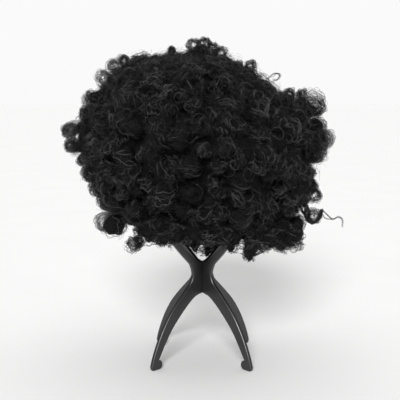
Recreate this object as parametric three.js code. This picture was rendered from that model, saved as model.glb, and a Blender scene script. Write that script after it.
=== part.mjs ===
// Curly wig on a slot-together wig stand.
// Millimetres, +Z up. The stand's axis is x = y = 0 and its feet rest on z = 0; -Y is the front.
//
// The stand is two flat plates that cross at right angles on the axis, each with two legs, a
// narrow waist and two arms that meet in a dome arch. Plate A is slotted down into its waist
// from above and its arch is split at the crown; plate B is slotted up into its waist from
// below, so plate B lowers into plate A. The wig's net cap sits over the arches.
import * as THREE from 'three';

// ---- Driving dimensions --------------------------------------------------------------------
const PLATE_T = 4.6;          // thickness of the stand's plates
const EDGE_CHAMFER = 0.6;     // chamfer round each plate's edges
const SLOT_CLEAR = 0.4;       // clearance each side of a plate in the other plate's slot
const FOOT_RHO = 90;          // outermost point of a foot from the axis
const TOE_R = 3.2;            // rounding of the toe
const BALL = { rho: 78.4, r: 6 };   // round inward end of each foot
const WAIST = { half: 17.8, z: 114 };
const LOWER_CROTCH = 87.2;    // top of the opening between the legs
const UPPER_CROTCH = 129.2;   // bottom of the opening between the arms
const SEAT_Z = 109;           // height at which plate B sits in plate A's slot
const SPRING_Z = 238;         // where the arms turn into the dome arch
const ARCH_HALF = 79;         // half width of the arch, outside
const ARCH_TOP = 355;         // top of the arch, outside
const ARCH_DEPTH = 14.5;      // depth of the arch's strip

const CAP_GAP = 1.6;          // cap's inner wall to the arch's outer edge at the sides
const CAP_T = 1.2;            // thickness of the net cap
const CAP_RIM_Z = 214;        // where the net cap ends and the edge band starts
const BAND_H = 13;            // height of the elastic edge band
const BAND_T = 1.6;           // thickness of the edge band
const FABRIC_GAP = 0.4;       // gap between neighbouring fabric pieces

const HAIR_STAND_OFF = 4;     // cap to the hair masses, where the weft tracks run
const HAIR_BOTTOM_Z = 140;    // lowest tips of the fringe
const HAIR_GAP = 0.7;         // gap between neighbouring hair masses
const LUMP = 3.5;             // height of the clumps on the hair's outside
const LEAN = 10;              // how far the upper hair leans over to the left

const ARCH_IN = ARCH_HALF - ARCH_DEPTH;
const ARCH_RISE = ARCH_TOP - SPRING_Z;
const CAP_IN = ARCH_HALF + CAP_GAP;
const CROWN_GAP = 0.8;        // cap to the top of the arch
const DOME_H = ARCH_RISE + CROWN_GAP;
const rad = THREE.MathUtils.degToRad;
const point = (x, y) => new THREE.Vector2(x, y);

// ---- Materials -----------------------------------------------------------------------------
const plastic = new THREE.MeshStandardMaterial({ color: 0x232325, roughness: 0.42 });
const net = new THREE.MeshStandardMaterial({ color: 0x0e0d0d, roughness: 0.95 });
const elastic = new THREE.MeshStandardMaterial({ color: 0x141313, roughness: 0.85 });
const clear = new THREE.MeshStandardMaterial({ color: 0x1a1918, roughness: 0.35 });
const steel = new THREE.MeshStandardMaterial({ color: 0x2b2b2d, roughness: 0.35, metalness: 0.9 });
const hair = new THREE.MeshStandardMaterial({ color: 0x0b0a0a, roughness: 0.8 });

const object = new THREE.Group();

function add(name, geometry, material) {
  const mesh = new THREE.Mesh(geometry, material);
  mesh.name = name;
  object.add(mesh);
  return mesh;
}

// ---- Stand plates --------------------------------------------------------------------------
const smooth = (points, count) => new THREE.SplineCurve(points).getPoints(count);

function arc(cx, cy, r, from, to, count) {
  const curve = new THREE.EllipseCurve(cx, cy, r, r, rad(from), rad(to), to < from);
  return curve.getPoints(count);
}

// Quarter of the dome arch, from the side up to where it meets x = stop.
function archCurve(half, height, stop, count) {
  const last = Math.acos(stop / half);
  return Array.from({ length: count + 1 }, (_, i) => {
    const a = (last * i) / count;
    return point(half * Math.cos(a), SPRING_Z + height * Math.sin(a));
  });
}

// Outer edge of the right half, from the sole up to the spring of the arch.
function outerEdge() {
  const toe = arc(FOOT_RHO - TOE_R, TOE_R, TOE_R, -90, 12, 4);
  const leg = smooth([point(90.4, 4.6), point(87.2, 15), point(80.6, 31), point(71.7, 48),
    point(59.4, 66), point(44.4, 82), point(30.6, 95), point(21, 104.5),
    point(WAIST.half, WAIST.z)], 17);
  const arm = smooth([point(WAIST.half, WAIST.z), point(21.2, 126), point(29.8, 135), point(47, 152),
    point(58, 166), point(66, 182), point(72.8, 200), point(77.2, 219),
    point(ARCH_HALF, SPRING_Z)], 13);
  return [...toe, ...leg, ...arm.slice(1)];
}

// Inner edge of the right leg, from the crotch out to the ankle, then round the foot's ball.
function legInside(fromX) {
  const leg = smooth([point(0, LOWER_CROTCH), point(11.5, 85.4), point(22.8, 78.6),
    point(36.9, 66.4), point(48.8, 54.6), point(58.8, 43), point(67.2, 30.4), point(74.8, 18),
    point(78.4, 12)], 14);
  const ball = arc(BALL.rho, BALL.r, BALL.r, 90, 270, 8);
  return [...leg.filter((p) => p.x > fromX), ...ball];
}

// Inside of the right arm, from the upper crotch up to the spring of the arch.
function armInside(fromX) {
  const arm = smooth([point(0, UPPER_CROTCH), point(7.2, 130.4), point(15.2, 135.4),
    point(38.8, 154.6), point(50.5, 171.5), point(57.2, 190), point(61.6, 208), point(63.9, 223),
    point(ARCH_IN, SPRING_Z)], 12);
  return arm.filter((p) => p.x > fromX);
}

const mirrored = (points) => points.map((p) => point(-p.x, p.y)).reverse();

// A plate stands in the vertical plane through the axis at the given azimuth.
function plateGeometry(shape, azimuth) {
  const geometry = new THREE.ExtrudeGeometry(shape, {
    depth: PLATE_T - 2 * EDGE_CHAMFER, bevelEnabled: true, bevelThickness: EDGE_CHAMFER,
    bevelSize: EDGE_CHAMFER, bevelOffset: -EDGE_CHAMFER, bevelSegments: 1,
  });
  geometry.translate(0, 0, EDGE_CHAMFER - PLATE_T / 2);
  geometry.rotateX(rad(90));
  return geometry.rotateZ(rad(azimuth));
}

const SLOT_HALF = PLATE_T / 2 + SLOT_CLEAR;
const SPLIT_HALF = SLOT_HALF + 0.3;   // the split at the crown is a little wider than the slot

function plateA() {
  const half = [
    ...outerEdge(), ...archCurve(ARCH_HALF, ARCH_RISE, SPLIT_HALF, 12).slice(1),
    ...archCurve(ARCH_IN, ARCH_RISE - ARCH_DEPTH, SPLIT_HALF, 10).reverse(),
    ...armInside(SLOT_HALF).slice(0, -1).reverse(), point(SLOT_HALF, UPPER_CROTCH + 0.1),
    point(SLOT_HALF, SEAT_Z),
  ];
  const inside = legInside(-1);
  return new THREE.Shape([...inside, ...half, ...mirrored(half), ...mirrored(inside).slice(0, -1)]);
}

function plateB() {
  const half = [...outerEdge(), ...archCurve(ARCH_HALF, ARCH_RISE, 0, 12).slice(1)];
  const slotTop = SEAT_Z + SLOT_CLEAR;
  const slotFoot = point(SLOT_HALF, LOWER_CROTCH);
  const inside = [point(SLOT_HALF, slotTop), slotFoot, ...legInside(SLOT_HALF)];
  const right = [...inside, ...half];
  const shape = new THREE.Shape([...right, ...mirrored(right).slice(1)]);
  const opening = [...armInside(-1), ...archCurve(ARCH_IN, ARCH_RISE - ARCH_DEPTH, 0, 10).slice(1)];
  shape.holes.push(new THREE.Path([...opening, ...mirrored(opening).slice(1, -1)]));
  return shape;
}

add('frame_a', plateGeometry(plateA(), 45), plastic);
add('frame_b', plateGeometry(plateB(), -45), plastic);

// ---- Pieces shaped from a grid --------------------------------------------------------------
// Maps the unit cube's grid through a function, so that the piece stays one closed body.
function shaped(segments, map) {
  const geometry = new THREE.BoxGeometry(1, 1, 1, ...segments);
  const place = geometry.attributes.position;
  const tidy = (v) => Math.round(v * 1e6) / 1e6;
  for (let i = 0; i < place.count; i += 1) {
    const p = map(tidy(place.getX(i)), tidy(place.getY(i)), tidy(place.getZ(i)));
    place.setXYZ(i, p.x, p.y, p.z);
  }
  geometry.computeVertexNormals();
  return geometry;
}

// A round piece over the crown: a square grid pushed out to a disc. place takes an azimuth, how
// far out the point is, from 0 to 1, and how far through the piece it is, from 0 to 1.
function disc(cells, place) {
  return shaped([cells, cells, 1], (x, y, z) => {
    const out = Math.max(Math.abs(x), Math.abs(y)) * 2;
    return place(out ? Math.atan2(y, x) : 0, out, z + 0.5);
  });
}

const spin = (profile, azimuth) => new THREE.Vector3(
  profile.x * Math.cos(azimuth), profile.x * Math.sin(azimuth), profile.y,
);

// ---- Wig cap -------------------------------------------------------------------------------
// A point of the dome at a latitude, moved out along the dome's normal.
function domePoint(latitude, offset) {
  const c = Math.cos(latitude);
  const s = Math.sin(latitude);
  const slope = Math.hypot(DOME_H * c, CAP_IN * s);
  return point(
    CAP_IN * c + (offset * DOME_H * c) / slope,
    SPRING_Z + DOME_H * s + (offset * CAP_IN * s) / slope,
  );
}

const AROUND = 32;
const lathe = (profile, segments = AROUND) => {
  const geometry = new THREE.LatheGeometry(profile, segments, rad(180 / AROUND));
  return geometry.rotateX(rad(90));
};

// The cap is a round crown panel and side panels that run from it down to the rim.
const PANELS = 8;
const CROWN_LATITUDE = 52;
const SEAM = 0.35;            // gap between neighbouring panels, taken up by the seam's thread
const CROWN_SEAM = 0.28;      // the same gap round the crown panel, in degrees of latitude

// up runs from the rim, 0, to the crown panel's seam, 1; through is across the net.
function sideWall(up, through) {
  const straight = 0.16;
  if (up < straight) {
    const z = THREE.MathUtils.lerp(CAP_RIM_Z, SPRING_Z, up / straight);
    return point(CAP_IN + CAP_T * through, z);
  }
  const latitude = (CROWN_LATITUDE * (up - straight)) / (1 - straight);
  return domePoint(rad(latitude), CAP_T * through);
}

function sidePanel(index) {
  const step = (2 * Math.PI) / PANELS;
  return shaped([6, 8, 1], (x, y, z) => {
    const profile = sideWall(y + 0.5, z + 0.5);
    const inset = SEAM / 2 / profile.x;
    const azimuth = step * (index + 0.5) + x * (step - 2 * inset);
    return spin(profile, azimuth);
  });
}

function crownPanel() {
  const span = 90 - CROWN_LATITUDE - CROWN_SEAM;
  return disc(10, (azimuth, out, through) => {
    const profile = domePoint(rad(90 - span * out), CAP_T * through);
    return spin(out ? profile : point(0, profile.y), azimuth);
  });
}

add('cap_crown', crownPanel(), net);
for (let i = 0; i < PANELS; i += 1) {
  add(`cap_panel_${i + 1}`, sidePanel(i), net);
}

function ringGeometry(inner, outer, z0, z1) {
  return lathe([point(inner, z0), point(outer, z0), point(outer, z1), point(inner, z1),
    point(inner, z0)]);
}

const BAND_TOP = CAP_RIM_Z - FABRIC_GAP;
const BAND_Z = BAND_TOP - BAND_H;
add('cap_edge_band', ringGeometry(CAP_IN, CAP_IN + BAND_T, BAND_Z, BAND_TOP), elastic);

// Weft tracks: sewn tapes that carry the hair, one above the other round the cap.
const TRACK = { count: 4, t: 1.3, first: 3, pitch: 18.5, width: 2.2 };   // last three in degrees
for (let i = 0; i < TRACK.count; i += 1) {
  const low = rad(TRACK.first + i * TRACK.pitch);
  const high = low + rad(TRACK.width);
  const near = CAP_T + FABRIC_GAP;
  const profile = [domePoint(low, near), domePoint(low, near + TRACK.t),
    domePoint(high, near + TRACK.t), domePoint(high, near), domePoint(low, near)];
  add(`weft_track_${i + 1}`, lathe(profile), elastic);
}

// ---- Ear tabs, combs and nape adjusters ----------------------------------------------------
// Turns a piece drawn in the plane (across, up) to stand on the cap at an azimuth, with its
// outer face at a radius.
function standOnCap(shape, thickness, radius, azimuth) {
  const geometry = new THREE.ExtrudeGeometry(shape, {
    depth: thickness, bevelEnabled: false, curveSegments: 5,
  });
  geometry.rotateX(rad(90)).rotateZ(rad(90)).translate(radius - thickness, 0, 0);
  return geometry.rotateZ(rad(azimuth));
}

const EAR_TAB = { halfWidth: 11, drop: 19, t: 1.2 };
function earTab() {
  const { halfWidth, drop } = EAR_TAB;
  const top = BAND_Z - FABRIC_GAP;
  const shape = new THREE.Shape();
  shape.moveTo(-halfWidth, top);
  shape.lineTo(-halfWidth * 0.7, top - drop * 0.75);
  shape.quadraticCurveTo(0, top - drop * 1.25, halfWidth * 0.7, top - drop * 0.75);
  shape.lineTo(halfWidth, top);
  return shape;
}

const COMB = { width: 36, teeth: 12, tooth: 1.5, spine: 4.5, length: 16, z: 221, t: 1.2 };
const COMB_INSET = 3;         // cap's inner wall to the comb's outer face
function combShape() {
  const shape = new THREE.Shape();
  const pitch = (COMB.width - COMB.tooth) / (COMB.teeth - 1);
  const spineTop = COMB.z + COMB.spine;
  shape.moveTo(COMB.width / 2, COMB.z);
  for (let i = COMB.teeth - 1; i >= 0; i -= 1) {
    const x = -COMB.width / 2 + i * pitch;
    shape.lineTo(x + COMB.tooth, spineTop);
    shape.lineTo(x + COMB.tooth * 0.75, spineTop + COMB.length);
    shape.lineTo(x + COMB.tooth * 0.25, spineTop + COMB.length);
    shape.lineTo(x, spineTop);
  }
  shape.lineTo(-COMB.width / 2, COMB.z);
  return shape;
}

// Bends a piece drawn along x, with y outward and z up, round the stand's axis.
function bend(geometry, radius, azimuth) {
  const place = geometry.attributes.position;
  for (let i = 0; i < place.count; i += 1) {
    const a = rad(azimuth) - place.getX(i) / radius;
    const r = radius + place.getY(i);
    place.setXYZ(i, r * Math.cos(a), r * Math.sin(a), place.getZ(i));
  }
  geometry.computeVertexNormals();
  return geometry;
}

const SIDES = { right: 0, back: 90, left: 180, front: 270 };
for (const [side, azimuth] of Object.entries(SIDES)) {
  add(`comb_${side}`, standOnCap(combShape(), COMB.t, CAP_IN - COMB_INSET, azimuth), clear);
}
for (const side of ['left', 'right']) {
  const radius = CAP_IN + EAR_TAB.t / 2;
  add(`ear_tab_${side}`, standOnCap(earTab(), EAR_TAB.t, radius, SIDES[side]), elastic);
}

// Each nape adjuster is an elastic strap that runs in a sewn channel inside the edge band and
// ends in a hook; the hook catches in one of the slots of the loop tape at the nape's middle.
const STRAP = { r: 78.8, t: 0.9, h: 8.4, length: 26, z: 206.6 };
const CHANNEL = { r: 78.8, wall: 0.6, room: 0.35, length: 28, past: 3 };
const HOOK = { length: 7, h: 7, t: 1.4, wire: 1.5, back: 2, clear: 3.5 };
const LOOP_TAPE = { width: 25, h: 9, t: 0.8, r: 76.2, slots: 4 };

function channelGeometry(azimuth) {
  const outer = STRAP.t / 2 + CHANNEL.room;
  const top = STRAP.h / 2 + CHANNEL.room;
  const w = CHANNEL.wall;
  const section = new THREE.Shape([point(-outer - w, -top - w), point(outer, -top - w),
    point(outer, -top), point(-outer, -top), point(-outer, top), point(outer, top),
    point(outer, top + w), point(-outer - w, top + w)]);
  const geometry = new THREE.ExtrudeGeometry(section, {
    depth: CHANNEL.length, steps: 6, bevelEnabled: false,
  });
  geometry.translate(0, 0, -CHANNEL.length / 2).rotateX(rad(90)).rotateZ(rad(90));
  geometry.translate(0, 0, STRAP.z);
  return bend(geometry, CHANNEL.r, azimuth);
}

function hookShape() {
  const { length, h, wire, back } = HOOK;
  return new THREE.Shape([point(-length / 2, -h / 2), point(length / 2, -h / 2),
    point(length / 2, h / 2), point(-length / 2, h / 2), point(-length / 2, h / 2 - wire),
    point(length / 2 - back, h / 2 - wire), point(length / 2 - back, -h / 2 + wire),
    point(-length / 2, -h / 2 + wire)]);
}

function loopTape() {
  const { width, h, slots } = LOOP_TAPE;
  const shape = new THREE.Shape([point(-width / 2, -h / 2), point(width / 2, -h / 2),
    point(width / 2, h / 2), point(-width / 2, h / 2)]);
  const pitch = width / slots;
  for (let i = 0; i < slots; i += 1) {
    const x = -width / 2 + pitch * (i + 0.5);
    shape.holes.push(new THREE.Path().absellipse(x, 0, 1.1, h / 3, 0, 2 * Math.PI, true));
  }
  return shape;
}

for (const [side, sign] of [['left', 1], ['right', -1]]) {
  const along = (arc) => 90 + (sign * THREE.MathUtils.radToDeg(arc)) / STRAP.r;
  const hookMid = LOOP_TAPE.width / 2 + HOOK.clear + HOOK.length / 2;
  const strapMid = hookMid + HOOK.length / 2 + FABRIC_GAP + STRAP.length / 2;
  const channelMid = strapMid + CHANNEL.past;
  add(`strap_channel_${side}`, channelGeometry(along(channelMid)), elastic);
  const strap = new THREE.BoxGeometry(STRAP.length, STRAP.t, STRAP.h, 6, 1, 1);
  add(`nape_strap_${side}`, bend(strap.translate(0, 0, STRAP.z), STRAP.r, along(strapMid)), elastic);
  const hook = standOnCap(hookShape(), HOOK.t, STRAP.r + HOOK.t / 2, along(hookMid));
  add(`strap_hook_${side}`, hook.translate(0, 0, STRAP.z), steel);
}
const tape = standOnCap(loopTape(), LOOP_TAPE.t, LOOP_TAPE.r, SIDES.back);
add('nape_loop_tape', tape.translate(0, 0, STRAP.z), elastic);

// ---- Hair ----------------------------------------------------------------------------------
// A meridian runs from the crown, t = 0, to the lowest tips, t = 1. The hair lies between the
// inner meridian, which follows the cap and then hangs, and the outer one.
const OUTER = new THREE.SplineCurve([point(0, 411), point(52, 401), point(98, 379),
  point(133, 349), point(155, 315), point(164, 282), point(159, 248), point(145, 218),
  point(128, 189), point(111, 162), point(97, HAIR_BOTTOM_Z - 2)]);
const HANG_T = 0.6;
const HANG_IN = 5;
const CALM_T = 0.12;          // the clumps and the lean grow from nothing over this much

function innerPoint(t) {
  if (t < HANG_T) return domePoint(rad(90 * (1 - t / HANG_T)), HAIR_STAND_OFF);
  const down = (t - HANG_T) / (1 - HANG_T);
  const start = CAP_IN + HAIR_STAND_OFF;
  return point(start - HANG_IN * down ** 2, SPRING_Z + (HAIR_BOTTOM_Z - SPRING_Z) * down);
}

// Clumps on the outside, alike on opposite sides so that the hair stays centred.
function clumps(azimuth, t) {
  return LUMP * (Math.sin(6 * azimuth + 11 * t) * Math.cos(19 * t + 2 * azimuth)
    + 0.5 * Math.sin(10 * azimuth - 27 * t));
}

// s runs from the inner meridian, 0, to the outer one, 1.
function hairPoint(azimuth, t, s) {
  const inner = innerPoint(t);
  const outer = OUTER.getPoint(t);
  const lean = -LEAN * Math.cos(azimuth) * Math.sin(Math.PI * Math.min(1, t / HANG_T));
  const way = outer.clone().sub(inner);
  const reach = way.length();
  const fade = Math.min(1, t / CALM_T);
  const grow = 1 + (fade * (clumps(azimuth, t) + lean)) / reach;
  return spin(inner.add(way.multiplyScalar(s * grow)), azimuth);
}

// A hair mass between two azimuths and two places on the meridian.
function hairMass(from, to, t0, t1) {
  const inset = HAIR_GAP / 2 / innerPoint(t0).x;
  return shaped([6, 4, 1], (x, y, z) => {
    const azimuth = THREE.MathUtils.lerp(from + inset, to - inset, 0.5 + x);
    return hairPoint(azimuth, THREE.MathUtils.lerp(t0, t1, 0.5 - y), z + 0.5);
  });
}

const T_GAP = 0.004;
const CROWN_T = 0.14;
const SHORTEST_TIP = 0.93;    // where the shortest fringe mass ends; the others hang to 1 at most
const TIP_WAVE = 2.4;         // radians from one fringe mass to the next, of the wave in their tips
add('hair_crown', disc(8, (azimuth, out, s) => hairPoint(azimuth, out * (CROWN_T - T_GAP), s)), hair);
const RINGS = [
  { name: 'hair_upper', count: 6, from: CROWN_T, to: 0.34, turn: 30 },
  { name: 'hair_middle', count: 6, from: 0.34, to: 0.54, turn: 0 },
  { name: 'hair_lower', count: 8, from: 0.54, to: 0.74, turn: 0 },
  { name: 'hair_fringe', count: 8, from: 0.74, to: 1, turn: 22.5 },
];
for (const ring of RINGS) {
  const step = 360 / ring.count;
  for (let i = 0; i < ring.count; i += 1) {
    const start = rad(ring.turn + i * step);
    const last = ring.to === 1;
    const wave = Math.sin(TIP_WAVE * i) ** 2;
    const tip = last ? THREE.MathUtils.lerp(SHORTEST_TIP, 1, wave) : ring.to - T_GAP;
    add(`${ring.name}_${i + 1}`, hairMass(start, start + rad(step), ring.from, tip), hair);
  }
}

// Two loose curls stand off the silhouette: a ringlet at the right and a loop at the left.
const CURL_R = 2.2;
function curlGeometry(points) {
  const path = new THREE.CatmullRomCurve3(points.map((p) => new THREE.Vector3(...p)));
  const section = new THREE.Shape(arc(0, 0, CURL_R, 0, 360, 6).slice(0, -1));
  return new THREE.ExtrudeGeometry(section, { steps: 16, extrudePath: path, bevelEnabled: false });
}
add('ringlet_right', curlGeometry([[147, -22, 208], [155, -26, 199], [154, -30, 188],
  [147, -30, 184], [151, -25, 179], [165, -22, 181], [176, -20, 178], [184, -19, 174]]), hair);
add('loose_curl_left', curlGeometry([[-176, -8, 290], [-183, -12, 297], [-184, -12, 306],
  [-178, -8, 311], [-173, -4, 306]]), hair);

export default object;
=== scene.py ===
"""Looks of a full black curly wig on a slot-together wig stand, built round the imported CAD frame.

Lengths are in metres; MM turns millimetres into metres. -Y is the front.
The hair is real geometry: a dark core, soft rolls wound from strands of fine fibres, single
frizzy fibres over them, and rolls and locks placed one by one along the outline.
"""

import math

import bmesh
import bpy
import numpy as np
from mathutils import Matrix, Vector, noise


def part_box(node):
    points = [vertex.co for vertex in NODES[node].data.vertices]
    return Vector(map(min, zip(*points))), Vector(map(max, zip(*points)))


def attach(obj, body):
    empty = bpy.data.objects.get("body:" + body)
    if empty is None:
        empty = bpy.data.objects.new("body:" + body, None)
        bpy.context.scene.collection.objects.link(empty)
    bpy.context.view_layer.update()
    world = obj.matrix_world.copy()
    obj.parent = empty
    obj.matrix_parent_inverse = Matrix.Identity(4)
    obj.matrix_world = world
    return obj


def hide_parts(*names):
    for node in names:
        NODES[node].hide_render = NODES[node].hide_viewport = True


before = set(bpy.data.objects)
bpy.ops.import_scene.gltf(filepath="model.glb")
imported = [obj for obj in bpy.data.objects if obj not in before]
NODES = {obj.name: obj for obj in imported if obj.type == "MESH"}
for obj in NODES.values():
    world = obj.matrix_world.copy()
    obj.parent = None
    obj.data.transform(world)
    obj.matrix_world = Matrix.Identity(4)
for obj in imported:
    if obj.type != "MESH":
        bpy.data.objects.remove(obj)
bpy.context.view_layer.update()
MM = 0.001
rng = np.random.default_rng(20)

# ---- Camera --------------------------------------------------------------------------------
AIM = Vector((-0.0029, 0.0, 0.2105))
CAMERA_DISTANCE = 1.086
CAMERA_ELEVATION = math.radians(7.2)
CAMERA_TURN = math.radians(0.9)              # to the right of the front
TOWARDS_CAMERA = Vector((math.sin(CAMERA_TURN) * math.cos(CAMERA_ELEVATION),
                         -math.cos(CAMERA_TURN) * math.cos(CAMERA_ELEVATION),
                         math.sin(CAMERA_ELEVATION)))
LENS_MM = 74.7


def make_camera():
    data = bpy.data.cameras.new("camera")
    data.lens = LENS_MM
    data.sensor_width = 36.0
    camera = bpy.data.objects.new("camera", data)
    camera.location = AIM + TOWARDS_CAMERA * CAMERA_DISTANCE
    camera.rotation_euler = (-TOWARDS_CAMERA).to_track_quat("-Z", "Y").to_euler()
    bpy.context.scene.collection.objects.link(camera)
    bpy.context.scene.camera = camera


# ---- Materials -----------------------------------------------------------------------------
def new_material(name, colour, roughness, **sockets):
    """A Principled material; the sockets are constants, with spaces as underscores."""
    material = bpy.data.materials.new(name)
    material.use_nodes = True
    shader = material.node_tree.nodes["Principled BSDF"]
    shader.inputs["Base Color"].default_value = (*colour, 1)
    shader.inputs["Roughness"].default_value = roughness
    for key, value in sockets.items():
        shader.inputs[key.replace("_", " ")].default_value = value
    return material


def add_node(tree, kind, **inputs):
    node = tree.nodes.new(kind)
    for key, value in inputs.items():
        node.inputs[key.replace("_", " ")].default_value = value
    return node


def noise_of(tree, scale, detail=3.0, swirl=0.0):
    """Noise over object space, so that the pattern is the same size everywhere."""
    place = tree.nodes.new("ShaderNodeTexCoord")
    cloud = add_node(tree, "ShaderNodeTexNoise", Scale=scale, Detail=detail, Distortion=swirl)
    tree.links.new(place.outputs["Object"], cloud.inputs["Vector"])
    return cloud.outputs["Fac"]


def ramp_of(tree, factor, low, high, start=0.3, end=0.7):
    ramp = tree.nodes.new("ShaderNodeValToRGB")
    ramp.color_ramp.elements[0].position = start
    ramp.color_ramp.elements[1].position = end
    ramp.color_ramp.elements[0].color = (*low, 1)
    ramp.color_ramp.elements[1].color = (*high, 1)
    tree.links.new(factor, ramp.inputs["Fac"])
    return ramp.outputs["Color"]


def bump_from(tree, height, strength, distance, before=None):
    bump = add_node(tree, "ShaderNodeBump", Strength=strength, Distance=distance)
    tree.links.new(height, bump.inputs["Height"])
    if before is not None:
        tree.links.new(before, bump.inputs["Normal"])
    return bump.outputs["Normal"]


def stand_plastic():
    """Satin black moulding: fine spark-eroded grain, faint flow marks and a rubbed patchiness."""
    material = new_material("stand_plastic", (0.028, 0.028, 0.03), 0.42, Specular_IOR_Level=0.68)
    tree = material.node_tree
    shader = tree.nodes["Principled BSDF"]
    colour = ramp_of(tree, noise_of(tree, 38), (0.008, 0.008, 0.009), (0.014, 0.0138, 0.015))
    tree.links.new(colour, shader.inputs["Base Color"])
    rough = ramp_of(tree, noise_of(tree, 60), (0.3, 0.3, 0.3), (0.42, 0.42, 0.42))
    tree.links.new(rough, shader.inputs["Roughness"])
    flow = bump_from(tree, noise_of(tree, 45, 1.0), 0.25, 0.4 * MM)
    grain = bump_from(tree, noise_of(tree, 2600, 2.0), 0.35, 0.05 * MM, flow)
    tree.links.new(grain, shader.inputs["Normal"])
    return material


def woven_tape():
    """Black elastic tape with a fine rib running round the cap."""
    material = new_material("woven_tape", (0.016, 0.015, 0.015), 0.85, Sheen_Weight=0.2)
    tree = material.node_tree
    shader = tree.nodes["Principled BSDF"]
    place = tree.nodes.new("ShaderNodeTexCoord")
    wave = add_node(tree, "ShaderNodeTexWave", Scale=320.0, Distortion=1.5)
    wave.bands_direction = "Z"
    tree.links.new(place.outputs["Object"], wave.inputs["Vector"])
    tree.links.new(bump_from(tree, wave.outputs["Fac"], 0.6, 0.2 * MM), shader.inputs["Normal"])
    colour = ramp_of(tree, noise_of(tree, 900), (0.01, 0.0095, 0.0095), (0.026, 0.025, 0.024))
    tree.links.new(colour, shader.inputs["Base Color"])
    return material


def cap_net():
    """Stretch net: a small honeycomb of raised threads."""
    material = new_material("cap_net", (0.013, 0.012, 0.012), 0.9, Sheen_Weight=0.15)
    tree = material.node_tree
    shader = tree.nodes["Principled BSDF"]
    place = tree.nodes.new("ShaderNodeTexCoord")
    cells = add_node(tree, "ShaderNodeTexVoronoi", Scale=420.0)
    cells.feature = "DISTANCE_TO_EDGE"
    tree.links.new(place.outputs["Object"], cells.inputs["Vector"])
    thread = ramp_of(tree, cells.outputs["Distance"], (1, 1, 1), (0, 0, 0), 0.02, 0.14)
    tree.links.new(bump_from(tree, thread, 0.9, 0.4 * MM), shader.inputs["Normal"])
    colour = ramp_of(tree, thread, (0.005, 0.005, 0.005), (0.03, 0.028, 0.027), 0.1, 0.9)
    tree.links.new(colour, shader.inputs["Base Color"])
    return material


def comb_plastic():
    material = new_material("comb_plastic", (0.02, 0.018, 0.017), 0.3, Coat_Weight=0.15)
    tree = material.node_tree
    shader = tree.nodes["Principled BSDF"]
    rough = ramp_of(tree, noise_of(tree, 240), (0.24, 0.24, 0.24), (0.42, 0.42, 0.42))
    tree.links.new(rough, shader.inputs["Roughness"])
    return material


def hook_steel():
    material = new_material("hook_steel", (0.03, 0.03, 0.032), 0.35, Metallic=0.7)
    tree = material.node_tree
    shader = tree.nodes["Principled BSDF"]
    rough = ramp_of(tree, noise_of(tree, 700), (0.28, 0.28, 0.28), (0.5, 0.5, 0.5))
    tree.links.new(rough, shader.inputs["Roughness"])
    return material


def matted_hair():
    """The felted inside of the hair: tangled crimped threads in the bump, with painted glints on them
    and painted shade dark between them.
    """
    material = new_material("matted_hair", (0.006, 0.0055, 0.0055), 0.75, Specular_IOR_Level=0.12)
    tree = material.node_tree
    shader = tree.nodes["Principled BSDF"]
    thread = noise_of(tree, 420, 5.0, 2.6)
    # painted highlight and painted shade: the crimped noise lightens the threads as glints and darkens
    # the gaps between them
    colour = ramp_of(tree, thread, (0.0015, 0.0015, 0.0016), (0.021, 0.0195, 0.019), 0.47, 0.68)
    tree.links.new(colour, shader.inputs["Base Color"])
    lumps = bump_from(tree, noise_of(tree, 170, 3.0, 1.5), 1.0, 3.0 * MM)
    tree.links.new(bump_from(tree, thread, 1.0, 1.6 * MM, lumps), shader.inputs["Normal"])
    return material


def fibre_materials():
    """Fibre tones, from jet black to a grey that paints glints, the darkest first.

    A slow noise turns the gloss from cool to warm along the fibres.
    """
    tones = {
        "fibre_jet": ((0.0015, 0.0015, 0.0017), 0.3),
        "fibre_black": ((0.004, 0.0039, 0.004), 0.34),
        "fibre_soft": ((0.017, 0.0165, 0.0167), 0.34),
        # painted highlight: grey fibres stand in for the fine glints on the black hair
        "fibre_glint_grey": ((0.11, 0.106, 0.106), 0.3),
    }
    made = []
    for name, (colour, rough) in tones.items():
        material = new_material(name, colour, rough, Specular_IOR_Level=0.3)
        tree = material.node_tree
        tint = ramp_of(tree, noise_of(tree, 130), (0.75, 0.8, 0.9), (1.0, 0.9, 0.8))
        tree.links.new(tint, tree.nodes["Principled BSDF"].inputs["Specular Tint"])
        made.append(material)
    return made


TONE_SHARES = (0.46, 0.32, 0.22)
# share of single fibres painted grey as glints
GLINT_SHARE = 0.15


# ---- Meshes from arrays --------------------------------------------------------------------
def mesh_object(name, points, faces, materials, face_tones=None, smooth=True):
    """faces is an (n, 4) array of quads whose last two corners are equal on a triangle."""
    mesh = bpy.data.meshes.new(name)
    tri = faces[:, 2] == faces[:, 3]
    sizes = np.where(tri, 3, 4)
    starts = np.concatenate(([0], np.cumsum(sizes)[:-1]))
    keep = np.ones(faces.shape, bool)
    keep[tri, 3] = False
    mesh.vertices.add(len(points))
    mesh.vertices.foreach_set("co", np.asarray(points, np.float32).ravel())
    mesh.loops.add(int(sizes.sum()))
    mesh.loops.foreach_set("vertex_index", faces[keep].astype(np.int32))
    mesh.polygons.add(len(faces))
    mesh.polygons.foreach_set("loop_start", starts.astype(np.int32))
    for material in materials:
        mesh.materials.append(material)
    if face_tones is not None:
        mesh.polygons.foreach_set("material_index", np.asarray(face_tones, np.int32))
    mesh.update(calc_edges=True)
    mesh.polygons.foreach_set("use_smooth", np.full(len(faces), smooth))
    piece = bpy.data.objects.new(name, mesh)
    bpy.context.scene.collection.objects.link(piece)
    return piece


def unit(v):
    return v / np.maximum(np.linalg.norm(v, axis=-1, keepdims=True), 1e-12)


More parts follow.
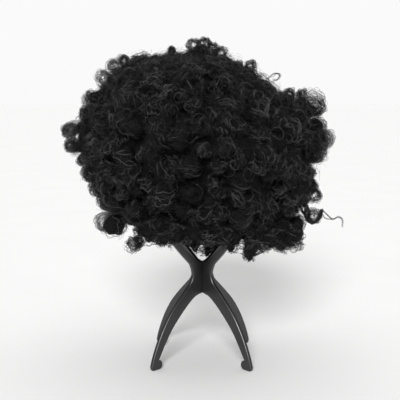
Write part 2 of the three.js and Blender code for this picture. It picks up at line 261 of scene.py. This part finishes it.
def tubes(paths, radii, sides):
    """Closed tubes along many paths at once: (count, steps, 3) points, (count, steps) radii."""
    count, steps, _ = paths.shape
    along = unit(np.gradient(paths, axis=1))
    across = np.empty_like(paths)
    start = np.cross(along[:, 0], rng.normal(size=(count, 3)))
    across[:, 0] = unit(start)
    for k in range(1, steps):
        before = across[:, k - 1]
        flat = before - (before * along[:, k]).sum(-1, keepdims=True) * along[:, k]
        across[:, k] = unit(flat)
    other = np.cross(along, across)
    angle = 2 * np.pi * np.arange(sides) / sides
    ring = (np.cos(angle)[:, None] * across[:, :, None] + np.sin(angle)[:, None] * other[:, :, None])
    points = (paths[:, :, None] + ring * radii[:, :, None, None]).reshape(-1, 3)
    tube = np.arange(count)[:, None, None] * steps * sides
    step = np.arange(steps - 1)[None, :, None] * sides
    side = np.arange(sides)[None, None, :]
    after = (side + 1) % sides
    low = tube + step
    walls = np.stack([low + side, low + after, low + sides + after, low + sides + side], -1)
    wall_faces = walls.reshape(count, -1, 4)
    first = tube[:, :, 0]
    last = first + (steps - 1) * sides
    caps = []
    for i in range(1, sides - 1):
        caps.append(np.concatenate([first, first + i + 1, first + i, first + i], 1))
        caps.append(np.concatenate([last, last + i, last + i + 1, last + i + 1], 1))
    faces = np.concatenate([wall_faces, np.stack(caps, 1)], 1)
    return points, faces.reshape(-1, 4), faces.shape[1]


# ---- Shape of the hair ---------------------------------------------------------------------
MIDDLE = np.array([0.0, 0.0, 283 * MM])      # the point that the hair grows round
CAP_RADIUS = 84 * MM                         # the cap and its tracks
EYE = np.array(AIM + TOWARDS_CAMERA * CAMERA_DISTANCE)

# Reach of the hair from its middle, by elevation, at the right and at the left.
ELEVATIONS = np.radians([-90, -62, -48, -35, -22, -13, -5, 2, 10, 17, 28, 38, 50, 63, 76, 90])
REACH_RIGHT = MM * np.array(
    [130, 152, 158, 153, 152, 146, 153, 158, 150, 144, 127, 115, 111, 112, 115, 114])
REACH_LEFT = MM * np.array(
    [128, 142, 150, 152, 151, 153, 154, 160, 157, 150, 146, 148, 143, 126, 118, 114])


def reach(directions):
    """How far the hair stands out from its middle along unit directions."""
    x, y, z = directions[..., 0], directions[..., 1], directions[..., 2]
    up = np.arcsin(np.clip(z, -1, 1))
    flat = np.maximum(np.hypot(x, y), 1e-9)
    right = 0.5 + 0.5 * x / flat
    at_right = np.interp(up, ELEVATIONS, REACH_RIGHT)
    at_left = np.interp(up, ELEVATIONS, REACH_LEFT)
    lumps = np.sin(5.1 * x + 7.3 * z + 0.6) * np.sin(6.2 * y - 4.4 * z + 1.1)
    return at_right * right + at_left * (1 - right) + 5 * MM * lumps * (1 - z ** 4)


def lowest(x, y):
    """Height of the fringe's tips: high over the stand's front, lower at the sides and behind."""
    rho = np.maximum(np.hypot(x, y), 1e-9)
    front = np.clip(-y / rho, 0, 1)
    back = np.clip(y / rho, 0, 1)
    left = np.clip(-x / rho, 0, 1)
    return (150 + 16 * front ** 3 - 20 * back ** 3 + 14 * left ** 2) * MM


def seen(x, z, y):
    """The point at depth y on the line of sight through (x, 0, z), all in millimetres."""
    target = np.array([x * MM, 0.0, z * MM])
    return EYE + (target - EYE) * (1 + y * MM / -EYE[1])


def over_axis(spots):
    """Where the camera sees spots against the upright plane through the stand's axis."""
    return EYE + (spots - EYE) / (1 + spots[:, 1:2] / -EYE[1])


def scatter(count, jitter):
    """Even directions all round, shaken a little."""
    i = np.arange(count) + 0.5
    z = 1 - 2 * i / count
    turn = i * math.pi * (3 - math.sqrt(5))
    flat = np.sqrt(1 - z * z)
    points = np.stack([flat * np.cos(turn), flat * np.sin(turn), z], -1)
    return unit(points + rng.normal(0, jitter, points.shape))


# ---- Fibres --------------------------------------------------------------------------------
STEPS = 38              # points along a fibre
ARC_STEPS = 16          # and along a fibre that makes one plain arc
FIBRE_R = 0.22 * MM
FRIZZ_R = 0.17 * MM
FINE_R = 0.12 * MM
FIBRE_SIDES = 3
PER_STRAND = 4          # fibres that lie together in a strand
PIECE_FIBRES = 800      # the most fibres in one piece
ANY_PHASE = 6.28        # about a full turn, for the random start of a wave
TILT = 0.3              # how far the strands of a roll lean away from its axis
OPEN = {"turns": (0.7, 1.6), "inner": 0.5, "tilt": 0.34, "stray": 0.16, "fibre_r": 0.18 * MM}


def split_square(v, by):
    """A unit part of v square to by, and the third direction."""
    flat = unit(v - (v * by).sum(-1, keepdims=True) * by)
    return flat, np.cross(by, flat)


def thickness(count, fibre_r, taper=0.5, steps=STEPS):
    ends = 1 - taper * np.abs(np.linspace(-1, 1, steps))[None] ** 3
    return fibre_r * ends * rng.uniform(0.7, 1.25, (count, 1))


def crimp(count, waves, size):
    """A strand's own small curl: two waves a quarter turn apart."""
    t = np.linspace(0, 1, STEPS)[None]
    phase = rng.uniform(0, 2 * math.pi, (count, 1)) + 2 * math.pi * waves * t
    phase = phase + 0.8 * np.sin(rng.uniform(0, ANY_PHASE, (count, 1)) + 9 * t)
    return size * np.cos(phase), size * np.sin(phase)


class Rolls:
    """Soft rolls of hair, one row each, wound round an axis."""

    def __init__(self, centre, out, axis, radius, half):
        self.centre, self.out, self.axis = centre, out, unit(axis)
        self.radius, self.half = radius, half
        self.hand = rng.choice([-1.0, 1.0], len(centre))

    def __len__(self):
        return len(self.centre)

    def pick(self, mask):
        part = object.__new__(Rolls)
        part.__dict__ = {k: v[mask] for k, v in self.__dict__.items()}
        return part

    def joined(self, other):
        part = object.__new__(Rolls)
        part.__dict__ = {k: np.concatenate([v, other.__dict__[k]]) for k, v in self.__dict__.items()}
        return part


def wind(rolls, strands, turns=(1.0, 1.9), inner=0.3, tilt=TILT, stray=0.08, fibre_r=FIBRE_R):
    """Fibres of the rolls: strands of a few fibres each, that share one winding course.

    inner is the least share of the radius, tilt how far the strands lean away from each other,
    and stray how far their middles lie from the roll's own, as a share of its radius.
    """
    order = np.repeat(np.arange(len(rolls)), strands)
    n = len(order)
    axis = unit(rolls.axis[order] + rng.normal(0, tilt, (n, 3)))
    middle = rolls.centre[order] + rng.normal(0, stray, (n, 3)) * rolls.radius[order][:, None]
    out, side = split_square(rolls.out[order], axis)
    radius = rolls.radius[order] * rng.uniform(inner, 1, n) ** 0.4
    half = rolls.half[order]
    start = rng.uniform(0, 2 * math.pi, n)
    spin = rolls.hand[order] * 2 * math.pi * rng.uniform(*turns, n)
    shift = rng.uniform(-0.75, 0.75, n) * half
    drift = rng.normal(0, 0.5, n) * half
    waves = rng.uniform(3.5, 6.5, n)
    size = rng.uniform(0.8, 2.2, n) * MM
    near, far = crimp(n, waves[:, None], size[:, None])

    again = np.repeat(np.arange(n), PER_STRAND)
    m = len(again)
    t = np.linspace(0, 1, STEPS)[None] * rng.uniform(0.8, 1, (m, 1)) + rng.normal(0, 0.02, (m, 1))
    angle = start[again, None] + spin[again, None] * t
    along = shift[again, None] + drift[again, None] * (t - 0.5)
    barrel = np.sqrt(np.clip(1 - 0.75 * (along / half[again, None]) ** 2, 0.1, 1))
    wobble = 1 + 0.15 * np.sin(rng.uniform(0, ANY_PHASE, (m, 1)) + rng.uniform(4, 9, (m, 1)) * t)
    wide = radius[again, None] * barrel * wobble + near[again]
    along = along + far[again]
    o, s, a = (v[again][:, None] for v in (out, side, axis))
    paths = (middle[again][:, None] + o * (wide * np.cos(angle))[..., None]
             + s * (wide * np.sin(angle))[..., None] + a * along[..., None])
    spread = rng.normal(0, 0.6 * MM, (m, 1, 3))
    beat = rng.uniform(0, ANY_PHASE, (m, 1, 3)) + rng.uniform(18, 36, (m, 1, 3)) * t[..., None]
    return paths + spread + 0.5 * MM * np.sin(beat), thickness(m, fibre_r)


def spine(points, count):
    """A smooth line of count points through a few points, with its frame."""
    p = np.asarray(points, float)
    p = np.concatenate([[2 * p[0] - p[1]], p, [2 * p[-1] - p[-2]]])
    where = np.linspace(0, len(p) - 3 - 1e-6, count)
    i = where.astype(int)
    f = (where - i)[:, None]
    a, b, c, d = p[i], p[i + 1], p[i + 2], p[i + 3]
    line = 0.5 * (2 * b + (c - a) * f + (2 * a - 5 * b + 4 * c - d) * f ** 2
                  + (3 * b - a - 3 * c + d) * f ** 3)
    along = unit(np.gradient(line, axis=0))
    across = [unit(np.cross(along[0], [0.3, 1.0, 0.2]))]
    for k in range(1, count):
        flat = across[-1] - across[-1].dot(along[k]) * along[k]
        across.append(unit(flat))
    across = np.array(across)
    return line, across, np.cross(along, across)


def lock(points, widths, strands, turns, fibre_r=FIBRE_R):
    """Fibres that twist round a spine. widths are the lock's radii along it, in millimetres."""
    line, across, other = spine(points, STEPS)
    t = np.linspace(0, 1, STEPS)
    width = np.interp(t, np.linspace(0, 1, len(widths)), widths) * MM
    share = rng.uniform(0.1, 1, (strands, 1)) ** 0.5
    angle = rng.uniform(0, 2 * math.pi, (strands, 1)) + 2 * math.pi * turns * t[None]
    angle = angle + 0.5 * np.sin(rng.uniform(0, ANY_PHASE, (strands, 1)) + 5 * t[None])
    near, _ = crimp(strands, rng.uniform(3, 6, (strands, 1)), 0.5 * MM)
    again = np.repeat(np.arange(strands), PER_STRAND)
    wide = (share * width[None] + near)[again]
    turn = angle[again] + rng.normal(0, 0.1, (len(again), 1))
    paths = (line[None] + across[None] * (wide * np.cos(turn))[..., None]
             + other[None] * (wide * np.sin(turn))[..., None])
    fan = rng.normal(0, 0.35 * MM, (len(again), 1, 3)) * np.linspace(0.6, 2.2, STEPS)[None, :, None]
    return paths + fan, thickness(len(again), fibre_r)


def flyaways(count):
    """Single fine fibres that stand off the outside, each in a loose arc."""
    d = unit(rng.normal(size=(count, 3)))
    d = d[d[:, 2] > -0.62]
    n = len(d)
    across, other = split_square(rng.normal(size=(n, 3)), d)
    t = np.linspace(0, 1, ARC_STEPS)[None]
    spin = rng.choice([-1, 1], (n, 1)) * rng.uniform(2.5, 8, (n, 1))
    radius = rng.uniform(2, 8, (n, 1)) * MM
    angle = spin * t
    rise = (rng.uniform(4, 14, (n, 1)) * np.sin(1.9 * t) + rng.uniform(-2, 5, (n, 1)) * t) * MM
    start = MIDDLE + d * (reach(d) - 6 * MM)[:, None]
    paths = (start[:, None] + d[:, None] * rise[..., None]
             + across[:, None] * (radius * np.sin(angle))[..., None]
             + other[:, None] * (radius * (1 - np.cos(angle)))[..., None])
    return paths, thickness(n, FINE_R, 0.7, ARC_STEPS)


def frizz(count):
    """Fine crimped fibres over the rolls, thickest on the top and its left."""
    d = unit(rng.normal(size=(count, 3)))
    dense = np.clip(0.25 + 0.9 * d[:, 2] - 0.35 * d[:, 0], 0.15, 1)
    d = d[(rng.uniform(size=count) < dense) & (d[:, 2] > -0.55)]
    n = len(d)
    across, other = split_square(rng.normal(size=(n, 3)), d)
    t = np.linspace(-0.5, 0.5, STEPS)[None]
    length = rng.uniform(14, 34, (n, 1)) * MM
    near, far = crimp(n, rng.uniform(3, 6, (n, 1)), rng.uniform(0.9, 2.4, (n, 1)) * MM)
    bend = rng.uniform(-1.6, 1.6, (n, 1)) * t ** 2
    drop = (2 * length * t) ** 2 / (3.2 * MIDDLE[2])
    start = MIDDLE + d * (reach(d) - rng.uniform(-1.5, 6, n) * MM)[:, None]
    paths = (start[:, None] + across[:, None] * (length * t)[..., None]
             + other[:, None] * (length * bend + near)[..., None]
             + d[:, None] * (far - drop)[..., None])
    return paths, thickness(n, FRIZZ_R)


def build(name, batch):
    """One piece from fibre paths and radii, riding on the wig.

    A strand's fibres share a dark tone, and single fibres among them are grey, as painted glints.
    """
    paths, radii = batch
    points, faces, per_tube = tubes(paths, radii, FIBRE_SIDES)
    strands = -(-len(paths) // PER_STRAND)
    tone = np.repeat(rng.choice(len(TONE_SHARES), strands, p=TONE_SHARES), PER_STRAND)[:len(paths)]
    # single fibres painted grey stand in for glints
    tone[rng.uniform(size=len(paths)) < GLINT_SHARE] = len(TONE_SHARES)
    piece = mesh_object(name, points, faces, TONES, np.repeat(tone, per_tube))
    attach(piece, "wig")
    return piece


def build_parts(name, batch, covered=()):
    """As build, in as many pieces as keep each to PIECE_FIBRES."""
    paths, radii = batch
    parts = -(-len(paths) // PIECE_FIBRES)
    edges = np.linspace(0, len(paths) // PER_STRAND, parts + 1).astype(int) * PER_STRAND
    edges[-1] = len(paths)
    for i in range(parts):
        label = name if parts == 1 else f"{name}_{'abcdefgh'[i]}"
        piece = build(label, (paths[edges[i]:edges[i + 1]], radii[edges[i]:edges[i + 1]]))
        if covered:
            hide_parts(*covered)


# ---- The hair's rolls ----------------------------------------------------------------------
ROLLS = 600             # tried places for rolls; those that stick out too low are dropped
STRANDS = 7             # strands in a roll
FULL_STRANDS = 9        # and in a full and an open roll of the outline
OPEN_STRANDS = 11
FRIZZ = 3600            # tried places for single fibres just over the rolls
FLYAWAYS = 2400         # and for single fibres that stand off them
GAP = (-99 * MM, -87 * MM)                   # where light shows past the hooked curl, in x
GAP_TOP = 176 * MM


def clear_of_gap(spot, radius, half):
    place = over_axis(spot)
    beside = (place[:, 0] + radius < GAP[0]) | (place[:, 0] - radius > GAP[1])
    return beside | (place[:, 2] - half > GAP_TOP)


def random_rolls():
    d = scatter(ROLLS, 0.05)
    radius = rng.uniform(8.5, 16, len(d)) * MM
    stand = reach(d) - radius * 0.95 + rng.normal(0, 2.8 * MM, len(d))
    spot = MIDDLE + d * stand[:, None]
    rho = np.hypot(spot[:, 0], spot[:, 1])
    keep = spot[:, 2] - radius * 0.8 > lowest(spot[:, 0], spot[:, 1])
    keep &= (rho > CAP_RADIUS + 8 * MM) | (spot[:, 2] > 330 * MM)
    keep &= clear_of_gap(spot, radius, radius)
    d, spot, radius = d[keep], spot[keep], radius[keep]
    n = len(d)
    axis = np.cross(d, rng.normal(size=(n, 3))) + 0.35 * rng.normal(size=(n, 3))
    return Rolls(spot, d, axis, radius, radius * rng.uniform(0.7, 1.4, n))


FRINGE = 72             # places for the fringe's fingers, all round


def fringe_rolls():
    """Soft hanging fingers all round, under the rest."""
    turn = 2 * math.pi * (np.arange(FRINGE) + rng.uniform(-0.3, 0.3, FRINGE)) / FRINGE
    rho = rng.uniform(94, 112, FRINGE) * MM
    x, y = rho * np.cos(turn), rho * np.sin(turn)
    n = FRINGE
    radius = rng.uniform(7, 11, n) * MM
    half = rng.uniform(13, 21, n) * MM
    z = lowest(x, y) + rng.uniform(-4, 9, n) * MM + half
    spot = np.stack([x, y, z], -1)
    keep = clear_of_gap(spot, radius, half)
    spot, radius, half, n = spot[keep], radius[keep], half[keep], int(keep.sum())
    out = unit(spot * [1, 1, 0])
    axis = np.array([0, 0, 1.0]) + 0.25 * out * rng.uniform(-1, 1, (n, 1)) + rng.normal(0, 0.12, (n, 3))
    return Rolls(spot, out, axis, radius, half)


END, UP, ACROSS = (0.15, 1.0, 0.1), (0.1, 0.1, 1.0), (1.0, 0.25, 0.1)
LEAN_RIGHT = (0.5, 0.2, 1.0)

# Rolls that make the outline: x and z as the camera sees them over the stand's axis, depth y,
# radius, half length, axis. Full ones have a dense middle; light shows through open ones.
FULL_ROLLS = [
    (-2, 401, -14, 9, 9, END), (10, 396, -10, 8, 9, UP), (-14, 396, -10, 8, 8, UP),
    (44, 382, -10, 8, 9, ACROSS), (106, 334, -16, 12, 13, END), (127, 335, -22, 11, 12, END),
    (146, 306, -20, 12, 14, END), (148, 287, -22, 14, 15, END), (127, 216, -26, 11, 12, END),
    (141, 229, -26, 10.5, 10, END), (121, 166, -48, 12, 23, LEAN_RIGHT), (106, 166, -56, 11, 21, UP),
    (91, 163, -66, 10, 18, UP), (64, 152, -84, 10.5, 27, UP), (39, 156, -92, 8.5, 19, UP),
    (-19, 156, 88, 8, 16, UP), (-8, 153, 86, 8, 17, UP), (8, 150, 88, 7, 19, UP),
    (16, 152, 88, 8, 20, UP), (25, 156, 86, 8, 18, UP), (-80, 172, -88, 6, 14, LEAN_RIGHT),
    (-64, 162, -88, 7, 12, UP), (-40, 163, -98, 8, 14, UP), (-117, 178, -44, 17, 15, END),
    (-140, 249, -20, 10, 11, END), (-134, 226, -24, 10, 12, END), (-163, 281, -22, 9, 11, END),
    (-155, 306, -18, 10, 12, END), (-136, 341, -16, 13, 13, END), (24, 164, -98, 7, 14, UP),
    (-20, 165, -99, 7, 13, UP), (140, 326, -26, 9, 10, END), (124, 180, -46, 11, 14, END),
]
OPEN_ROLLS = [
    (-11, 411, -10, 7.5, 8, END), (3, 411, -12, 7.5, 7, END), (13, 405, -12, 7, 7, END),
    (24, 399, -12, 7.5, 7, END), (-39, 402, -8, 4.5, 5, END), (62, 383, -12, 6, 6, END),
    (143, 334, -22, 15, 9, END), (148, 331, -22, 12, 9, END), (157, 290, -22, 11, 10, END),
    (150, 270, -20, 9, 9, END), (141, 246, -20, 4.5, 5, END), (146, 217, -26, 8.5, 8, END),
    (122, 153, -48, 10, 12, UP), (106, 152, -56, 8, 11, UP), (63, 142, -84, 8.5, 10, UP),
    (-90, 152, -88, 8, 8, END), (-84, 155, -88, 6, 8, END), (-127, 181, -44, 13, 10, END),
    (-149, 241, -22, 6.5, 7, END), (-156, 263, -22, 6, 7, END), (-170, 281, -22, 8, 8, END),
    (-127, 369, -14, 9, 8, END), (-114, 384, -10, 8, 7, END), (-100, 391, -8, 6, 6, END),
    (-145, 342, -16, 9, 9, END),
    (-150, 324, -16, 7, 8, END), (112, 348, -14, 6, 7, END), (128, 347, -16, 6, 6, ACROSS),
    (-52, 158, -94, 6, 9, UP), (80, 150, -74, 7, 10, UP), (-136, 226, -26, 9, 9, END),
]


SWAY = (-18, 6, 20, -8, 26)                  # spread of the outline's rolls in depth, in mm


def placed_rolls(rows):
    depths = [row[2] + SWAY[i % len(SWAY)] * (1 - abs(row[2]) / 100) for i, row in enumerate(rows)]
    centre = np.array([seen(row[0], row[1], y) for row, y in zip(rows, depths)])
    radius = np.array([row[3] for row in rows]) * MM
    half = np.array([row[4] for row in rows]) * MM
    axis = np.array([row[5] for row in rows]) + rng.normal(0, 0.08, (len(rows), 3))
    return Rolls(centre, unit(centre - MIDDLE), axis, radius, half)


CORE_SHARE = 0.8        # of a roll's size that the dense middle fills
CORE_VOXEL = 3.0 * MM
SKIRT_RHO = 104 * MM    # the dense middle reaches down inside the fringe at this radius,
SKIRT_ABOVE = 22 * MM   # to this far above the fringe's tips


def make_core(rolls, material):
    """The felted inside: a closed shell round the cap with a lump in every roll, fused."""
    around, rows = 72, 22
    turn = 2 * np.pi * np.arange(around) / around
    lat = np.linspace(np.radians(88), np.radians(-42), rows)
    outer = []
    for a in lat:
        d = np.stack([np.cos(a) * np.cos(turn), np.cos(a) * np.sin(turn),
                      np.full(around, math.sin(a))], -1)
        outer.append(MIDDLE + d * (reach(d) - 21 * MM)[:, None])
    wall, cap_top, spring = CAP_RADIUS + 4 * MM, 362 * MM, 238 * MM
    skirt = lowest(np.cos(turn), np.sin(turn)) + SKIRT_ABOVE
    outer.append(np.stack([SKIRT_RHO * np.cos(turn), SKIRT_RHO * np.sin(turn), skirt], -1))
    inner = [np.stack([wall * np.cos(turn), wall * np.sin(turn), skirt], -1)]
    for a in np.linspace(0, np.radians(86), 10):
        rho, z = wall * math.cos(a), spring + (cap_top - spring) * math.sin(a)
        inner.append(np.stack([rho * np.cos(turn), rho * np.sin(turn), np.full(around, z)], -1))
    rings = outer + inner
    points = np.concatenate(rings)
    r, k = np.meshgrid(np.arange(len(rings) - 1), np.arange(around), indexing="ij")
    j = (k + 1) % around
    faces = np.stack([r * around + k, (r + 1) * around + k, (r + 1) * around + j, r * around + j], -1)
    shell = bmesh.new()
    verts = [shell.verts.new(p) for p in points]
    for quad in faces.reshape(-1, 4):
        shell.faces.new([verts[i] for i in quad])
    shell.faces.new(verts[:around])
    shell.faces.new(verts[-around:][::-1])
    for centre, axis, radius, half in zip(rolls.centre, rolls.axis, rolls.radius, rolls.half):
        size = CORE_SHARE * np.array([radius, radius, max(half, 0.8 * radius)])
        place = (Matrix.Translation(centre) @ Vector(axis).to_track_quat("Z", "Y").to_matrix().to_4x4()
                 @ Matrix.Diagonal((*size, 1)))
        bmesh.ops.create_icosphere(shell, subdivisions=2, radius=1.0, matrix=place)
    mesh = bpy.data.meshes.new("hair_core")
    shell.to_mesh(mesh)
    shell.free()
    piece = bpy.data.objects.new("hair_core", mesh)
    bpy.context.scene.collection.objects.link(piece)
    remesh = piece.modifiers.new("fuse", "REMESH")
    remesh.mode = "VOXEL"
    remesh.voxel_size = CORE_VOXEL
    depsgraph = bpy.context.evaluated_depsgraph_get()
    fused = bpy.data.meshes.new_from_object(piece.evaluated_get(depsgraph))
    piece.modifiers.clear()
    piece.data = fused
    count = len(fused.vertices)
    co = np.empty(count * 3, np.float32)
    normal = np.empty(count * 3, np.float32)
    fused.vertices.foreach_get("co", co)
    fused.vertices.foreach_get("normal", normal)
    co, normal = co.reshape(-1, 3).astype(float), normal.reshape(-1, 3)
    coarse = np.array([noise.noise(Vector(p)) for p in co / (11 * MM)])
    fine = np.array([noise.noise(Vector(p)) for p in co / (4.5 * MM)])
    co += normal * (MM * (3.2 * coarse + 2.0 * fine))[:, None]
    fused.vertices.foreach_set("co", co.astype(np.float32).ravel())
    fused.materials.clear()
    fused.materials.append(material)
    fused.polygons.foreach_set("use_smooth", np.full(len(fused.polygons), True))
    fused.update()
    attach(piece, "wig")
    return piece


def nodes_between(prefix, low, high):
    """CAD hair nodes of a ring whose middles lie between two turns round the axis, in degrees."""
    found = []
    for name in NODES:
        if name.startswith(prefix):
            a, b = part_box(name)
            mid = (a + b) / 2
            turn = math.degrees(math.atan2(mid.y, mid.x)) % 360
            if low <= turn < high:
                found.append(name)
    return found


make_camera()
PLASTIC = stand_plastic()
TAPE = woven_tape()
NET = cap_net()
COMB = comb_plastic()
STEEL = hook_steel()
CORE = matted_hair()
TONES = fibre_materials()
PLATE_EDGE_DEG = 30     # edges of the plates that are sharper than this are rounded


def finish_node(name, material):
    node = NODES[name]
    node.data.materials.clear()
    node.data.materials.append(material)


def smooth_node(name, angle_deg):
    """Shades a faceted CAD node smoothly across its shallow edges, without moving a vertex."""
    node = NODES[name]
    weld = node.modifiers.new("weld", "WELD")
    weld.merge_threshold = 0.01 * MM
    node.data.polygons.foreach_set("use_smooth", [True] * len(node.data.polygons))
    bevel = node.modifiers.new("soft_edge", "BEVEL")
    bevel.width = 0.25 * MM
    bevel.segments = 2
    bevel.limit_method = "ANGLE"
    bevel.angle_limit = math.radians(angle_deg)
    bevel.harden_normals = False
    shade = node.modifiers.new("shade", "WEIGHTED_NORMAL")
    shade.keep_sharp = True


for name in NODES:
    if name.startswith("frame_"):
        finish_node(name, PLASTIC)
        smooth_node(name, PLATE_EDGE_DEG)
    elif name.startswith(("cap_crown", "cap_panel_")):
        finish_node(name, NET)
    elif name.startswith("comb_"):
        finish_node(name, COMB)
    elif name.startswith("strap_hook_"):
        finish_node(name, STEEL)
    elif not name.startswith(("hair_", "ringlet_", "loose_curl_")):
        finish_node(name, TAPE)

rolls = random_rolls().joined(fringe_rolls())
full_rolls = placed_rolls(FULL_ROLLS)
make_core(rolls.joined(full_rolls), CORE)

SECTORS = {"crown": 3, "upper": 6, "middle": 6, "lower": 6, "fringe": 6}
turn = np.degrees(np.arctan2(rolls.centre[:, 1], rolls.centre[:, 0])) % 360
lift = unit(rolls.centre - MIDDLE)[:, 2]
LIFTS = {"crown": 0.78, "upper": 0.42, "middle": 0.05, "lower": -0.38, "fringe": -1.1}
top = 1.1
for ring, low in LIFTS.items():
    inside = (lift < top) & (lift >= low)
    top = low
    count = SECTORS[ring]
    for i in range(count):
        a, b = 360 * i / count, 360 * (i + 1) / count
        chosen = rolls.pick(inside & (turn >= a) & (turn < b))
        covered = nodes_between(f"hair_{ring}", a, b)
        build_parts(f"curls_{ring}_{i + 1}", wind(chosen, STRANDS), covered)

build_parts("curls_outline_full", wind(full_rolls, FULL_STRANDS, tilt=0.4, stray=0.14))
build_parts("curls_outline_open", wind(placed_rolls(OPEN_ROLLS), OPEN_STRANDS, **OPEN))
build_parts("frizz_fibres", frizz(FRIZZ))
build_parts("flyaway_fibres", flyaways(FLYAWAYS))

# The free locks: x and z over the stand's axis, at one depth, with radii along them.
LOCK_DEPTH = -24
RINGLET = ((122, 214), (130, 205), (136, 195), (138.5, 186.5), (145, 181), (151.5, 185.5),
           (154.5, 192), (156, 198))
RINGLET_WIDTHS = (8, 7, 5, 3.2, 1.6, 1.5, 1.7, 1.1)
TAIL_HIGH = ((153, 195), (156.5, 198.5), (161, 194.5), (166.5, 189), (171, 185.3), (177.5, 188),
             (182.4, 186), (184, 180.5), (183.3, 175))
TAIL_WIDTHS = (1.3, 1.1, 0.9, 0.7, 0.5, 0.3)
TAIL_LOW = ((155.5, 195), (157.5, 191), (161, 187), (166, 184.8), (171, 185))
WISP = ((84, 368), (92, 373), (99, 372), (97, 366), (90, 366))
ringlet = [lock([seen(x, z, LOCK_DEPTH) for x, z in RINGLET], RINGLET_WIDTHS, 34, 1.8),
           lock([seen(x, z, LOCK_DEPTH) for x, z in TAIL_HIGH], TAIL_WIDTHS, 3, 1.2, FINE_R),
           lock([seen(x, z, LOCK_DEPTH) for x, z in TAIL_LOW], (1, 0.8, 0.6, 0.4), 2, 1.2, FINE_R),
           wind(placed_rolls([(146, 190, LOCK_DEPTH, 8.5, 5, END)]), 10, **OPEN)]
build("wisp_right", lock([seen(x, z, -12) for x, z in WISP], [3, 2.2, 1.8, 1.6, 1], 4, 1.4, FINE_R))
piece = build("strands_ringlet_right", tuple(np.concatenate(part) for part in zip(*ringlet)))
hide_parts("ringlet_right")
curl = placed_rolls([(-172, 301, -14, 8.5, 8, END), (-169, 303, -14, 7, 8, END)])
piece = build("strands_loose_curl_left", wind(curl, 12, **OPEN))
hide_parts("loose_curl_left")


# ---- Floor and light -----------------------------------------------------------------------
def make_floor():
    """A wide round sheet of pale paper."""
    paper = new_material("paper", (0.9, 0.895, 0.89), 0.8, Specular_IOR_Level=0.2)
    tree = paper.node_tree
    shader = tree.nodes["Principled BSDF"]
    colour = ramp_of(tree, noise_of(tree, 6), (0.925, 0.923, 0.919), (0.944, 0.942, 0.938))
    tree.links.new(colour, shader.inputs["Base Color"])
    around, rings = 48, 12
    turn = 2 * np.pi * np.arange(around) / around
    points = [(0, 0, 0)]
    for r in 30.0 * (np.arange(1, rings + 1) / rings) ** 3:
        points += [(r * math.cos(a), r * math.sin(a), 0) for a in turn]
    faces = [[0, 1 + k, 1 + (k + 1) % around, 1 + (k + 1) % around] for k in range(around)]
    for i in range(rings - 1):
        for k in range(around):
            a, b = 1 + i * around + k, 1 + i * around + (k + 1) % around
            faces.append([a, a + around, b + around, b])
    floor = mesh_object("floor", np.array(points), np.array(faces), [paper])


# Height, turn from the front (to the left is negative) and angular size in degrees, and strength.
LIGHTS = {
    "key": (27, -5, 20, 2.8),
    "overhead": (78, 176, 80, 1.0),
}
AMBIENT = 0.33
BACKDROP = 0.955


def make_light():
    """A key from the front and a broad light overhead, in a pale studio."""
    for name, (height, turn, size, strength) in LIGHTS.items():
        data = bpy.data.lights.new(name, "SUN")
        data.energy = strength
        data.angle = math.radians(size)
        light = bpy.data.objects.new(name, data)
        height, turn = math.radians(height), math.radians(turn)
        toward = Vector((math.sin(turn) * math.cos(height),
                         -math.cos(turn) * math.cos(height), math.sin(height)))
        light.rotation_euler = toward.to_track_quat("Z", "Y").to_euler()
        bpy.context.scene.collection.objects.link(light)
    world = bpy.data.worlds.new("studio")
    bpy.context.scene.world = world
    world.use_nodes = True
    tree = world.node_tree
    light_path = tree.nodes.new("ShaderNodeLightPath")
    strength = add_node(tree, "ShaderNodeMapRange")
    strength.inputs["To Min"].default_value = AMBIENT
    strength.inputs["To Max"].default_value = BACKDROP
    tree.links.new(light_path.outputs["Is Camera Ray"], strength.inputs["Value"])
    background = tree.nodes["Background"]
    background.inputs["Color"].default_value = (1, 1, 1, 1)
    tree.links.new(strength.outputs["Result"], background.inputs["Strength"])
    bpy.context.scene.view_settings.view_transform = "Standard"


make_floor()
make_light()
